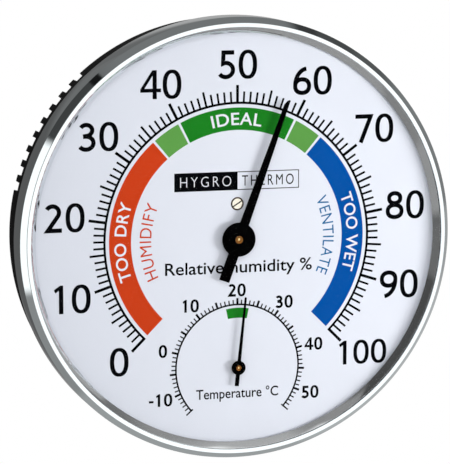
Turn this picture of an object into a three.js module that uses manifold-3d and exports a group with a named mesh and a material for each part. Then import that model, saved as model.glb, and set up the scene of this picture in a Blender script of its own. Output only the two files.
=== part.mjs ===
// A wall-hung dial hygrometer with a small bimetal thermometer on the same dial.
// Millimetres, +Z up. The dial faces -Y. The origin is on the dial's axis, in the plane of the wall.
// A height is a distance in front of the wall, so a point at height h lies at y = -h.
// A clock angle runs clockwise from the top as the dial is read, in degrees.

import * as THREE from "three";
import { mergeVertices } from "three/addons/utils/BufferGeometryUtils.js";
import Module from "manifold-3d";

const wasm = await Module();
wasm.setup();

// ---- Driving dimensions ----

const CASE_RADIUS = 64.2;
const CASE_WALL = 2.0;
const CASE_FRONT = 22.6; // height of the edge that the dial sits on
const PANEL_REAR = 5.8; // the back panel is set in, so that air reaches the rim's notches
const PANEL_FRONT = 7.6;
const LEDGE_RADIUS = 60.4; // bore of the ledge inside the case that the back panel rests on
const LEDGE_DEPTH = 1.2;
const SNAP_DEPTH = 0.5;
const SNAP_HEIGHT = 16.6;

const RING_RADIUS = 65.9;
const RING_REAR = 15.0;
const RING_SHOULDER = 24.25; // where the side wall meets the bevel
const CREST_OUTER = 64.3;
const CREST_INNER = 63.0;
const CREST_HEIGHT = 26.4;

const DIAL_RADIUS = 63.6;
const DIAL_FACE = 23.2;
const DIAL_THICKNESS = 0.5;
const DIAL_VISIBLE_RADIUS = 61.2;
const DIAL_HOLES = { hygroBush: 2.2, thermoBush: 1.5, screwHead: 2.0 };

const LENS_RADIUS = 63.7;
const LENS_REAR = 25.5;
const LENS_FRONT = 26.1;

const NOTCH_GROUP_ANGLES = [-59.3, 60.7, 180.7];
const NOTCH_COUNT = 9;
const NOTCH_PITCH = 4.22; // degrees
const NOTCH_WIDTH = 2.4; // degrees
const NOTCH_DEPTH = 5.2;

const AIR_SLOT_COUNT = 20;
const AIR_SLOT = { inner: 22, outer: 36, width: 3 };
const KEYHOLE = { height: 46, headRadius: 4.5, slotRadius: 2.3, slotTop: 53 };
const ADJUSTER_HOLE_RADIUS = 3.2;

const THERMO_DROP = 38.7; // the thermometer's spindle is this far below the hygrometer's
const HYGRO_READING_ANGLE = 20.3; // 57.5 %
const THERMO_READING_ANGLE = 6.0; // 21.6 degrees C

// The blade's sides turn in to its point at the shoulder.
const HYGRO_POINTER = {
  rear: 24.65,
  front: 25.05,
  hubRadius: 5.1,
  tip: 43.7,
  shoulder: 42.2,
  rootWidth: 2.9,
  endWidth: 1.3,
  tail: 13.1,
  tailWidth: 3.0,
};
const THERMO_POINTER = {
  rear: 24.4,
  front: 24.7,
  hubRadius: 2.15,
  tip: 21.4,
  shoulder: 21.2,
  rootWidth: 0.95,
  endWidth: 0.5,
  tail: 5.5,
  tailWidth: 1.1,
};

// The hygrometer's movement: two plates on three pillars, with the coil between them.
const HYGRO_PLATE = { radius: 15.5, frontRear: 21.5, frontFace: 22.5, backRear: 10.6, backFace: 11.6 };
const PILLAR = { radius: 1.5, tenon: 0.9, rearThread: 0.8, rearThreadDepth: 4, hole: 1.0 };
const PILLAR_PLACES = [
  { circle: 10.5, angle: 0 }, // the one that the screw in the dial's hole goes into
  { circle: 12.6, angle: 120 },
  { circle: 12.6, angle: 240 },
];
const MOVEMENT_SCREW = { thread: 0.9, threadLength: 2.6, head: 1.6, face: 23.2, slot: 0.4, angle: 58 };
const WINDOW = { circle: 8.6, radius: 2.9, angles: [60, 180, 300] };
const HYGRO_SPINDLE = { radius: 0.75, pivot: 0.52, rear: 11.0, shoulder: 13.1, front: 25.2 };
const HYGRO_BUSH = { radius: 1.9, rear: 20.9 };
const HYGRO_POINTER_BUSH = { radius: 1.12, flange: 2.0, front: 25.35 };
const HYGRO_COLLET = { radius: 1.65, rear: 13.4, front: 18.3 };
const ADJUSTER = { headRadius: 2.6, neckRadius: 1.9, rear: 8.4, shoulder: 10.5, front: 12.9, slot: 0.8 };
const ARM = { rear: 11.8, front: 12.6, hubRadius: 3.4, width: 2.4, pinCircle: 9.2, angle: 60 };
const ARM_PIN = { radius: 0.55, tenon: 0.42, rear: 11.9, front: 18.4 };
const HYGRO_COIL = { inner: 1.9, outer: 8.5, turns: 4, strip: 0.3, rear: 13.6, front: 18.1, endAngle: 58 };

// The thermometer's movement: a cup behind the dial, bridged across its rear.
const CUP = { radius: 11, wall: 0.8, front: 22.5, floor: 21.7, rear: 13.5, lugCircle: 9, lugRadius: 1.2 };
const BRIDGE = { width: 5, rear: 12.6, front: 13.4 };
const BRIDGE_SCREW = { thread: 0.5, head: 1.3 };
const THERMO_SPINDLE = { radius: 0.5, rear: 12.4, front: 24.85 };
const THERMO_BUSH = { radius: 1.25, frontStart: 20.6, rearStart: 12.2, rearEnd: 14.2 };
const THERMO_POINTER_BUSH = { radius: 0.8, flange: 1.4, front: 25.0 };
const THERMO_COLLET = { radius: 1.15, rear: 14.4, front: 18.8 };
const THERMO_PIN = { radius: 0.45, tenon: 0.3, circle: 6.4, rear: 12.7, front: 18.8 };
const BIMETAL_COIL = {
  inner: 1.35, outer: 5.75, turns: 4, strip: 0.25, rear: 14.6, front: 18.6, endAngle: 88,
};

const FINE = 72; // sides of a large round
const MEDIUM = 30; // sides of a plate or a hub
const COARSE = 12; // sides of a small round
const FIT = 0.1; // gap between pieces that touch
const THROUGH = 30; // longer than anything that a hole goes through

// ---- Materials ----

function finish(color, roughness, metalness) {
  return new THREE.MeshStandardMaterial({ color, roughness, metalness });
}

const chrome = finish(0xd8dadd, 0.08, 1);
const blackPlastic = finish(0x121315, 0.45, 0);
const whitePaint = finish(0xe9edf7, 0.5, 0);
const clearGlass = finish(0xeef4f6, 0.05, 0);
const blackPaint = finish(0x060606, 0.55, 0);
const brass = finish(0xc08a3c, 0.3, 1);
const nickel = finish(0xe3dfcf, 0.3, 1);
const steel = finish(0x9a9da2, 0.35, 1);
const aluminium = finish(0xb9bcc0, 0.4, 1);
const humidityStrip = finish(0xb4703c, 0.5, 0.6);
const bimetalStrip = finish(0x8f8a80, 0.4, 1);

// ---- Solids ----

const radians = THREE.MathUtils.degToRad;

// A closed body with its faces pointing out, as a boolean solid.
function solid(geometry) {
  const shape = geometry.clone();
  shape.deleteAttribute("normal");
  shape.deleteAttribute("uv");
  const merged = mergeVertices(shape, 1e-4);
  const points = merged.attributes.position.array;
  const corners = Array.from(merged.index.array);
  const kept = [];
  let volume = 0;
  for (let i = 0; i < corners.length; i += 3) {
    const [a, b, c] = corners.slice(i, i + 3);
    if (a === b || b === c || c === a) continue;
    kept.push(a, b, c);
    const [p, q, r] = [a, b, c].map((n) => new THREE.Vector3().fromArray(points, 3 * n));
    volume += p.dot(q.cross(r));
  }
  const triVerts = new Uint32Array(volume < 0 ? kept.reverse() : kept);
  const mesh = new wasm.Mesh({ numProp: 3, vertProperties: new Float32Array(points), triVerts });
  return new wasm.Manifold(mesh);
}

function geometryOf(body) {
  const mesh = body.getMesh();
  const geometry = new THREE.BufferGeometry();
  geometry.setAttribute("position", new THREE.BufferAttribute(mesh.vertProperties, 3));
  geometry.setIndex(new THREE.BufferAttribute(mesh.triVerts, 1));
  geometry.computeVertexNormals();
  return geometry;
}

// A body of revolution about the dial's axis, from [radius, height] points in order round its section.
function turned(section, sides = COARSE) {
  const points = section.map(([radius, height]) => new THREE.Vector2(radius, -height));
  if (section.every(([radius]) => radius > 0)) points.push(points[0].clone());
  return solid(new THREE.LatheGeometry(points, sides));
}

// A plain round rod from one height to another.
function rod(radius, rear, front, sides = COARSE) {
  return turned([[0, rear], [radius, rear], [radius, front], [0, front]], sides);
}

// A tube from one height to another.
function tube(bore, radius, rear, front, sides = COARSE) {
  return turned([[bore, rear], [radius, rear], [radius, front], [bore, front]], sides);
}

// What a round hole takes away.
const hole = (radius, sides = COARSE) => rod(radius, 0, THROUGH, sides);

// A flat piece with the outline of a shape drawn in the dial's plane, x to the right and y up.
function plate(shape, rear, front, curveSegments = 6) {
  const depth = front - rear;
  const geometry = new THREE.ExtrudeGeometry(shape, { depth, bevelEnabled: false, curveSegments });
  geometry.rotateX(Math.PI / 2);
  geometry.translate(0, -rear, 0);
  return solid(geometry);
}

function box(width, tall, rear, front) {
  const geometry = new THREE.BoxGeometry(width, front - rear, tall);
  geometry.translate(0, -(rear + front) / 2, 0);
  return solid(geometry);
}

// The same body moved across the dial's plane: x to the right, z up.
const moved = (body, x, z) => body.translate([x, 0, z]);

// The same body turned about the dial's axis by a clock angle.
const clocked = (body, angle) => body.rotate([0, angle, 0]);

function polar(radius, angle) {
  return [radius * Math.sin(radians(angle)), radius * Math.cos(radians(angle))];
}

const group = new THREE.Group();

function add(name, body, material) {
  const mesh = new THREE.Mesh(geometryOf(body), material);
  mesh.name = name;
  group.add(mesh);
}

// ---- Case, ring, dial and lens ----

function notches() {
  const cuts = [];
  const chord = 2 * CASE_RADIUS * Math.sin(radians(NOTCH_WIDTH / 2));
  for (const centre of NOTCH_GROUP_ANGLES) {
    for (let i = 0; i < NOTCH_COUNT; i += 1) {
      const cut = moved(box(chord, 3 * CASE_WALL, -1, NOTCH_DEPTH), 0, CASE_RADIUS);
      cuts.push(clocked(cut, centre + (i - (NOTCH_COUNT - 1) / 2) * NOTCH_PITCH));
    }
  }
  return cuts;
}

function airSlots() {
  const cuts = [];
  const length = AIR_SLOT.outer - AIR_SLOT.inner;
  for (let i = 0; i < AIR_SLOT_COUNT; i += 1) {
    const slot = moved(box(AIR_SLOT.width, length, 0, THROUGH), 0, AIR_SLOT.inner + length / 2);
    cuts.push(clocked(slot, ((i + 0.5) * 360) / AIR_SLOT_COUNT));
  }
  return cuts;
}

function keyhole() {
  const rise = KEYHOLE.slotTop - KEYHOLE.height;
  const head = moved(hole(KEYHOLE.headRadius), 0, KEYHOLE.height);
  const slot = moved(box(2 * KEYHOLE.slotRadius, rise, 0, THROUGH), 0, KEYHOLE.height + rise / 2);
  const seat = moved(hole(KEYHOLE.slotRadius), 0, KEYHOLE.slotTop);
  return head.add(slot).add(seat);
}

function caseShell() {
  const inside = CASE_RADIUS - CASE_WALL;
  const groove = CASE_RADIUS - SNAP_DEPTH;
  const ledge = PANEL_FRONT + FIT;
  let body = turned(
    [
      [inside, 0],
      [CASE_RADIUS, 0],
      [CASE_RADIUS, SNAP_HEIGHT - 1],
      [groove, SNAP_HEIGHT - 0.6],
      [groove, SNAP_HEIGHT + 0.6],
      [CASE_RADIUS, SNAP_HEIGHT + 1],
      [CASE_RADIUS, CASE_FRONT],
      [inside, CASE_FRONT],
      [inside, ledge + LEDGE_DEPTH],
      [LEDGE_RADIUS, ledge + LEDGE_DEPTH],
      [LEDGE_RADIUS, ledge],
      [inside, ledge],
    ],
    FINE,
  );
  for (const cut of notches()) body = body.subtract(cut);
  return body;
}

function backPanel() {
  let body = rod(CASE_RADIUS - CASE_WALL - FIT, PANEL_REAR, PANEL_FRONT, FINE);
  const cuts = [...airSlots(), keyhole(), hole(ADJUSTER_HOLE_RADIUS)];
  for (const cut of cuts) body = body.subtract(cut);
  return body;
}

function bezelRing() {
  const bore = CASE_RADIUS + FIT;
  const bead = bore - SNAP_DEPTH + FIT;
  const seat = LENS_RADIUS + FIT;
  const lip = LENS_FRONT + FIT / 2;
  return turned(
    [
      [bore, RING_REAR],
      [RING_RADIUS - 0.4, RING_REAR],
      [RING_RADIUS, RING_REAR + 0.4],
      [RING_RADIUS, RING_SHOULDER],
      [CREST_OUTER, CREST_HEIGHT - 0.3],
      [CREST_OUTER - 0.25, CREST_HEIGHT],
      [CREST_INNER + 0.25, CREST_HEIGHT],
      [CREST_INNER, lip],
      [seat, lip],
      [seat, CASE_FRONT + FIT],
      [bore, CASE_FRONT + FIT],
      [bore, SNAP_HEIGHT + 0.8],
      [bead, SNAP_HEIGHT + 0.4],
      [bead, SNAP_HEIGHT - 0.4],
      [bore, SNAP_HEIGHT - 0.8],
    ],
    FINE,
  );
}

function frontLens() {
  return rod(LENS_RADIUS, LENS_REAR, LENS_FRONT, FINE);
}

function dialRehaut() {
  const rear = DIAL_FACE + FIT;
  const front = LENS_REAR - FIT;
  return turned(
    [
      [DIAL_VISIBLE_RADIUS, rear],
      [LENS_RADIUS, rear],
      [LENS_RADIUS, front],
      [CREST_INNER, front],
      [DIAL_VISIBLE_RADIUS, rear + 0.2],
    ],
    FINE,
  );
}

function dialPlate() {
  const { hygroBush, thermoBush, screwHead } = DIAL_HOLES;
  return rod(DIAL_RADIUS, DIAL_FACE - DIAL_THICKNESS, DIAL_FACE, FINE)
    .subtract(hole(hygroBush))
    .subtract(moved(hole(screwHead, MEDIUM), 0, PILLAR_PLACES[0].circle))
    .subtract(moved(hole(thermoBush), 0, -THERMO_DROP));
}

add("case_shell", caseShell(), blackPlastic);
add("back_panel", backPanel(), blackPlastic);
add("bezel_ring", bezelRing(), chrome);
add("front_lens", frontLens(), clearGlass);
add("dial_rehaut", dialRehaut(), chrome);
add("dial_plate", dialPlate(), whitePaint);

// ---- Shapes shared by both movements ----

// A spiral strip of even pitch, from its inner radius out to its end at a clock angle.
function spiral({ inner, outer, turns, strip, rear, front, endAngle }) {
  const steps = 14 * turns;
  const outside = [];
  const inside = [];
  for (let i = 0; i <= steps; i += 1) {
    const part = i / steps;
    const angle = endAngle - 360 * turns * (1 - part);
    const radius = inner + (outer - inner) * part;
    outside.push(new THREE.Vector2(...polar(radius + strip / 2, angle)));
    inside.push(new THREE.Vector2(...polar(radius - strip / 2, angle)));
  }
  return plate(new THREE.Shape([...outside, ...inside.reverse()]), rear, front);
}

// A slotted screw whose head faces away from the tip. Heights are of the tip, the head's underside and
// the head's outer face.
function slottedScrew({ thread, head, tip, seat, face, slotWidth, slotAngle }) {
  const edge = 0.12 * Math.sign(face - seat);
  const screw = turned([
    [0, tip],
    [thread, tip],
    [thread, seat],
    [head, seat],
    [head, face - edge],
    [head - Math.abs(edge), face],
    [0, face],
  ]);
  const slotFloor = (seat + face) / 2;
  const slot = box(slotWidth, 3 * head, Math.min(slotFloor, face + edge), Math.max(slotFloor, face + edge));
  return screw.subtract(clocked(slot, slotAngle));
}

// A pin with a thinner tenon at its rear end.
function anchorPin({ radius, tenon, rear, front }, shoulder) {
  const foot = [[0, rear], [tenon, rear], [tenon, shoulder]];
  return turned([...foot, [radius, shoulder], [radius, front], [0, front]]);
}

// A blade that narrows towards its point, a round hub and a square tail.
function pointer({ rear, front, hubRadius, tip, shoulder, rootWidth, endWidth, tail, tailWidth }, bore) {
  const half = rootWidth / 2;
  const end = endWidth / 2;
  const blade = new THREE.Shape([
    new THREE.Vector2(-half, 0),
    new THREE.Vector2(-end, shoulder),
    new THREE.Vector2(0, tip),
    new THREE.Vector2(end, shoulder),
    new THREE.Vector2(half, 0),
  ]);
  return plate(blade, rear, front)
    .add(rod(hubRadius, rear, front, MEDIUM))
    .add(moved(box(tailWidth, tail, rear, front), 0, -tail / 2))
    .subtract(hole(bore));
}

// A brass bush pressed on the spindle's end, with a flange under the pointer.
function pointerBush({ radius, flange, front }, bore, seat) {
  return turned([
    [bore, seat - 0.5],
    [flange, seat - 0.5],
    [flange, seat - 0.05],
    [radius, seat - 0.05],
    [radius, front],
    [bore, front],
  ]);
}

// ---- Hygrometer movement, hung on the dial by its front bush ----

const pillarPlace = ({ circle, angle }) => polar(circle, angle);

function hygroPlate(rear, front, centreHole) {
  let body = rod(HYGRO_PLATE.radius, rear, front, MEDIUM).subtract(hole(centreHole));
  for (const place of PILLAR_PLACES) body = body.subtract(moved(hole(PILLAR.hole), ...pillarPlace(place)));
  for (const angle of WINDOW.angles) {
    body = body.subtract(moved(hole(WINDOW.radius), ...polar(WINDOW.circle, angle)));
  }
  return body;
}

// A pillar between the plates, tapped at its rear. Its front end is a riveted tenon, or is tapped too.
function pillar(frontIsTapped) {
  const rear = HYGRO_PLATE.backFace + FIT;
  const shoulder = HYGRO_PLATE.frontRear - FIT;
  const thread = MOVEMENT_SCREW.thread + FIT / 2;
  const threadFloor = shoulder - MOVEMENT_SCREW.threadLength;
  const tenonEnd = HYGRO_PLATE.frontFace - FIT;
  const frontEnd = frontIsTapped
    ? [[thread, shoulder], [thread, threadFloor], [0, threadFloor]]
    : [[PILLAR.tenon, shoulder], [PILLAR.tenon, tenonEnd], [0, tenonEnd]];
  return turned([
    [0, rear + PILLAR.rearThreadDepth],
    [PILLAR.rearThread, rear + PILLAR.rearThreadDepth],
    [PILLAR.rearThread, rear],
    [PILLAR.radius, rear],
    [PILLAR.radius, shoulder],
    ...frontEnd,
  ]);
}

function movementScrew() {
  const { thread, threadLength, head, face, slot, angle } = MOVEMENT_SCREW;
  return slottedScrew({
    thread,
    head,
    tip: HYGRO_PLATE.frontRear - threadLength,
    seat: HYGRO_PLATE.frontFace + FIT / 5,
    face,
    slotWidth: slot,
    slotAngle: angle,
  });
}

function pillarScrew() {
  const seat = HYGRO_PLATE.backRear - FIT;
  return slottedScrew({
    thread: PILLAR.rearThread - FIT,
    head: 1.6,
    tip: HYGRO_PLATE.backFace + 3,
    seat,
    face: seat - 0.9,
    slotWidth: 0.4,
    slotAngle: 30,
  });
}

function adjustingScrew() {
  const { headRadius, neckRadius, rear, shoulder, front, slot } = ADJUSTER;
  const bearing = HYGRO_SPINDLE.pivot + FIT;
  const bearingFloor = HYGRO_SPINDLE.rear - FIT;
  const body = turned([
    [0, rear],
    [headRadius, rear],
    [headRadius, shoulder],
    [neckRadius, shoulder],
    [neckRadius, front],
    [bearing, front],
    [bearing, bearingFloor],
    [0, bearingFloor],
  ]);
  return body.subtract(clocked(box(slot, 3 * headRadius, rear - 1, rear + 0.9), 90));
}

// A hub on the adjusting screw with one arm out to the coil's anchor pin.
function regulatorArm() {
  const { rear, front, hubRadius, width, pinCircle, angle } = ARM;
  const arm = rod(hubRadius, rear, front)
    .add(moved(box(width, pinCircle, rear, front), 0, pinCircle / 2))
    .add(moved(rod(width / 2, rear, front), 0, pinCircle))
    .subtract(hole(ADJUSTER.neckRadius + FIT / 2))
    .subtract(moved(hole(ARM_PIN.tenon + FIT), 0, pinCircle));
  return clocked(arm, angle);
}

function hygroSpindle() {
  const { radius, pivot, rear, shoulder, front } = HYGRO_SPINDLE;
  const foot = [[0, rear], [pivot, rear], [pivot, shoulder]];
  return turned([...foot, [radius, shoulder], [radius, front], [0, front]]);
}

const { frontRear, frontFace, backRear, backFace } = HYGRO_PLATE;
add("hygro_front_plate", hygroPlate(frontRear, frontFace, HYGRO_BUSH.radius + FIT / 2), brass);
add("hygro_back_plate", hygroPlate(backRear, backFace, ADJUSTER.neckRadius + FIT), brass);

PILLAR_PLACES.forEach((place, i) => {
  add(`hygro_pillar_${i + 1}`, moved(pillar(i === 0), ...pillarPlace(place)), brass);
  add(`hygro_pillar_screw_${i + 1}`, moved(pillarScrew(), ...pillarPlace(place)), steel);
});

add("movement_screw", moved(movementScrew(), ...pillarPlace(PILLAR_PLACES[0])), nickel);
const hygroBore = HYGRO_SPINDLE.radius + 0.06;
add("hygro_front_bush", tube(hygroBore, HYGRO_BUSH.radius, HYGRO_BUSH.rear, DIAL_FACE), brass);
add("adjusting_screw", adjustingScrew(), brass);
add("regulator_arm", regulatorArm(), brass);
add("regulator_pin", moved(anchorPin(ARM_PIN, ARM.front + FIT), ...polar(ARM.pinCircle, ARM.angle)), steel);
add("humidity_coil", spiral(HYGRO_COIL), humidityStrip);
add(
  "hygro_collet",
  tube(HYGRO_SPINDLE.radius + FIT / 2, HYGRO_COLLET.radius, HYGRO_COLLET.rear, HYGRO_COLLET.front),
  brass,
);
add("hygro_spindle", hygroSpindle(), steel);

const hygroPointer = pointer(HYGRO_POINTER, HYGRO_POINTER_BUSH.radius + FIT / 2);
add("hygro_pointer", clocked(hygroPointer, HYGRO_READING_ANGLE), blackPaint);
add(
  "hygro_pointer_bush",
  pointerBush(HYGRO_POINTER_BUSH, HYGRO_SPINDLE.radius + 0.05, HYGRO_POINTER.rear),
  brass,
);

// ---- Thermometer movement ----

const atThermo = (body) => moved(body, 0, -THERMO_DROP);

function thermoHousing() {
  const { radius, wall, front, floor, rear, lugCircle, lugRadius } = CUP;
  let body = turned(
    [[0, floor], [radius - wall, floor], [radius - wall, rear], [radius, rear], [radius, front], [0, front]],
    MEDIUM,
  );
  for (const side of [-1, 1]) {
    const web = moved(box(2, 2 * lugRadius, rear, floor + 0.2), side * (lugCircle + 1.0), 0);
    const lug = moved(rod(lugRadius, rear, floor + 0.2), side * lugCircle, 0);
    const thread = moved(rod(BRIDGE_SCREW.thread + FIT, 0, rear + 3), side * lugCircle, 0);
    body = body.add(web).add(lug).subtract(thread);
  }
  return body.subtract(hole(THERMO_BUSH.radius + FIT / 2));
}

function thermoBridge() {
  const { width, rear, front } = BRIDGE;
  let body = box(2 * CUP.lugCircle, width, rear, front);
  for (const side of [-1, 1]) {
    body = body.add(moved(rod(width / 2, rear, front), side * CUP.lugCircle, 0));
  }
  for (const side of [-1, 1]) {
    body = body.subtract(moved(hole(BRIDGE_SCREW.thread + 2 * FIT), side * CUP.lugCircle, 0));
  }
  const pinHole = moved(hole(THERMO_PIN.tenon + FIT), THERMO_PIN.circle, 0);
  return body.subtract(hole(THERMO_BUSH.radius + FIT / 2)).subtract(pinHole);
}

function bridgeScrew() {
  const seat = BRIDGE.rear - FIT;
  return slottedScrew({
    thread: BRIDGE_SCREW.thread,
    head: BRIDGE_SCREW.head,
    tip: CUP.rear + 2.5,
    seat,
    face: seat - 0.8,
    slotWidth: 0.35,
    slotAngle: 20,
  });
}

const thermoBore = THERMO_SPINDLE.radius + 0.06;
add("thermo_housing", atThermo(thermoHousing()), aluminium);
add("thermo_bridge", atThermo(thermoBridge()), steel);
[-1, 1].forEach((side, i) => {
  add(`thermo_bridge_screw_${i + 1}`, atThermo(moved(bridgeScrew(), side * CUP.lugCircle, 0)), steel);
});
const thermoBush = tube(thermoBore, THERMO_BUSH.radius, THERMO_BUSH.frontStart, DIAL_FACE);
add("thermo_front_bush", atThermo(thermoBush), brass);
add(
  "thermo_rear_bush",
  atThermo(tube(thermoBore, THERMO_BUSH.radius, THERMO_BUSH.rearStart, THERMO_BUSH.rearEnd)),
  brass,
);
const thermoPin = moved(anchorPin(THERMO_PIN, BRIDGE.front + FIT), THERMO_PIN.circle, 0);
add("thermo_anchor_pin", atThermo(thermoPin), steel);
add("bimetal_coil", atThermo(spiral(BIMETAL_COIL)), bimetalStrip);
add(
  "thermo_collet",
  atThermo(tube(THERMO_SPINDLE.radius + FIT / 2, THERMO_COLLET.radius, THERMO_COLLET.rear, THERMO_COLLET.front)),
  brass,
);
add("thermo_spindle", atThermo(rod(THERMO_SPINDLE.radius, THERMO_SPINDLE.rear, THERMO_SPINDLE.front)), steel);

const thermoPointer = pointer(THERMO_POINTER, THERMO_POINTER_BUSH.radius + FIT / 2);
add("thermo_pointer", atThermo(clocked(thermoPointer, THERMO_READING_ANGLE)), blackPaint);
add(
  "thermo_pointer_bush",
  atThermo(pointerBush(THERMO_POINTER_BUSH, THERMO_SPINDLE.radius + 0.05, THERMO_POINTER.rear)),
  brass,
);

export default group;
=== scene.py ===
"""A wall-hung dial hygrometer with a small thermometer on its dial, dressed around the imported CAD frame.

The dial faces -Y and +Z is up. A height is a distance in front of the wall, so it is -y. A clock angle runs
clockwise from the top as the dial is read. Sizes are in metres, written as a number of MM.
"""

import math

import bmesh
import bpy
from mathutils import Matrix, Vector
from mathutils.geometry import tessellate_polygon


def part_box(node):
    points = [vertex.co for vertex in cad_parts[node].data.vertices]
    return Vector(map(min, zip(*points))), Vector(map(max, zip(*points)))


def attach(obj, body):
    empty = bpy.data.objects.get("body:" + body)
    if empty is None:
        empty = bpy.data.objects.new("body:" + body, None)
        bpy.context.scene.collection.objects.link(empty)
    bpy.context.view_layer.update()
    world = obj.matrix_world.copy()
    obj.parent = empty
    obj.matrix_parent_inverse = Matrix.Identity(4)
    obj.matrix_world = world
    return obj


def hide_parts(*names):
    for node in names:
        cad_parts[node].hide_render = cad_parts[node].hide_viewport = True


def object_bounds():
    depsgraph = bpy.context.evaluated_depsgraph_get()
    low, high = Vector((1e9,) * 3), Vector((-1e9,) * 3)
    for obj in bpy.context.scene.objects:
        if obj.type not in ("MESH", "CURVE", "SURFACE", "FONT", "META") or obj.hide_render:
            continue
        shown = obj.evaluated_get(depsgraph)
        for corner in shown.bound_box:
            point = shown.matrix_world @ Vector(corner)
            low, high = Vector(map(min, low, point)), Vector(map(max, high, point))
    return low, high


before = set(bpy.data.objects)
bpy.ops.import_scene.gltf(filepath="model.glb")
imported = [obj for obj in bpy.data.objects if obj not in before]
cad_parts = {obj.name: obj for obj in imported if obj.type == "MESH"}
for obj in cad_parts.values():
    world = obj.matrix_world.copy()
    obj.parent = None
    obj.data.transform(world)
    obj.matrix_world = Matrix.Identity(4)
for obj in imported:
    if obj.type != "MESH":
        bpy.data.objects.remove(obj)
cad_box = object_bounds()

MM = 0.001


# ---- Places taken from the frame ----

def front_of(node):
    """The height of a node's foremost point."""
    return -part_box(node)[0].y


def rear_of(node):
    """The height of a node's rearmost point."""
    return -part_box(node)[1].y


def radius_of(node):
    """Half a node's width."""
    low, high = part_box(node)
    return (high.x - low.x) / 2


DIAL_FACE = front_of("dial_plate")
DIAL_REAR = rear_of("dial_plate")
RING_RADIUS = radius_of("bezel_ring")
RING_REAR = rear_of("bezel_ring")
CREST = front_of("bezel_ring")
CASE_RADIUS = radius_of("case_shell")
LENS_REAR = rear_of("front_lens")
LENS_FRONT = front_of("front_lens")
LENS_RADIUS = radius_of("front_lens")
THERMO_Z = (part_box("thermo_spindle")[0].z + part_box("thermo_spindle")[1].z) / 2
SCREW_Z = (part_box("movement_screw")[0].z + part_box("movement_screw")[1].z) / 2

SCALE = 40.5 * MM  # radius of the humidity scale's arc, the unit of the dial's print
HYGRO_READING = 20.3  # clock angles of the two pointers at rest
THERMO_READING = 6.0


# ---- Mesh tools ----

def on_clock(radius, angle):
    """x and z of a point at a clock angle in degrees."""
    turn = math.radians(angle)
    return radius * math.sin(turn), radius * math.cos(turn)


def piece(name, mesh, material, body, replaces=None, smooth=35):
    """A finished object from a mesh, riding on a body of the frame."""
    mesh.name = name
    mesh.materials.clear()
    mesh.materials.append(material)
    for face in mesh.polygons:
        face.use_smooth = True
    mesh.set_sharp_from_angle(angle=math.radians(smooth))
    obj = bpy.data.objects.new(name, mesh)
    bpy.context.scene.collection.objects.link(obj)
    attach(obj, body)
    if replaces:
        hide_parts(*replaces)
    return obj


def mesh_of(verts, faces):
    """A mesh from points and faces, with its double points merged and its faces turned outward."""
    mesh = bpy.data.meshes.new("made")
    mesh.from_pydata([tuple(v) for v in verts], [], faces)
    work = bmesh.new()
    work.from_mesh(mesh)
    bmesh.ops.remove_doubles(work, verts=work.verts, dist=1e-7)
    bmesh.ops.recalc_face_normals(work, faces=work.faces)
    work.to_mesh(mesh)
    work.free()
    return mesh


def rounded(corners, steps=4):
    """A closed section with its corners rounded. A corner is (radius, height), with or without a fillet."""
    points = []
    count = len(corners)
    for i, corner in enumerate(corners):
        here = Vector(corner[:2])
        fillet = corner[2] if len(corner) > 2 else 0
        if not fillet:
            points.append(here)
            continue
        back = (Vector(corners[i - 1][:2]) - here).normalized()
        ahead = (Vector(corners[(i + 1) % count][:2]) - here).normalized()
        half = back.angle(ahead) / 2
        reach = fillet / math.tan(half)
        middle = here + (back + ahead).normalized() * fillet / math.sin(half)
        start = here + back * reach - middle
        end = here + ahead * reach - middle
        turn = start.angle_signed(end)
        for k in range(steps + 1):
            points.append(middle + Matrix.Rotation(-turn * k / steps, 2) @ start)
    return points


def turned(section, sides=192, centre=(0, 0)):
    """A body turned about an axis along Y, from (radius, height) points in order round its section."""
    verts = []
    rings = []
    for radius, height in section:
        if radius < 1e-9:
            rings.append([len(verts)] * sides)
            verts.append((centre[0], -height, centre[1]))
            continue
        rings.append(list(range(len(verts), len(verts) + sides)))
        for k in range(sides):
            x, z = on_clock(radius, 360 * k / sides)
            verts.append((centre[0] + x, -height, centre[1] + z))
    faces = []
    count = len(section)
    on_axis = [radius < 1e-9 for radius, height in section]
    for i in range(count):
        j = (i + 1) % count
        if on_axis[i] and on_axis[j]:
            continue
        for k in range(sides):
            n = (k + 1) % sides
            ring = [rings[i][k], rings[i][n], rings[j][n], rings[j][k]]
            faces.append(list(dict.fromkeys(ring)))
    return mesh_of(verts, faces)


def slab(loops, rear, front):
    """A flat solid between two heights. The loops are an outline and its holes, as (x, z) points."""
    flat = [point for loop in loops for point in loop]
    triangles = tessellate_polygon([[Vector((x, z, 0)) for x, z in loop] for loop in loops])
    count = len(flat)
    verts = [(x, -front, z) for x, z in flat] + [(x, -rear, z) for x, z in flat]
    faces = [tuple(t) for t in triangles] + [tuple(n + count for n in t) for t in triangles]
    start = 0
    for loop in loops:
        size = len(loop)
        for k in range(size):
            a, b = start + k, start + (k + 1) % size
            faces.append((a, b, b + count, a + count))
        start += size
    return mesh_of(verts, faces)


def joined(meshes):
    """One mesh holding several separate ones."""
    work = bmesh.new()
    for mesh in meshes:
        work.from_mesh(mesh)
    result = bpy.data.meshes.new("joined")
    work.to_mesh(result)
    work.free()
    return result


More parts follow.
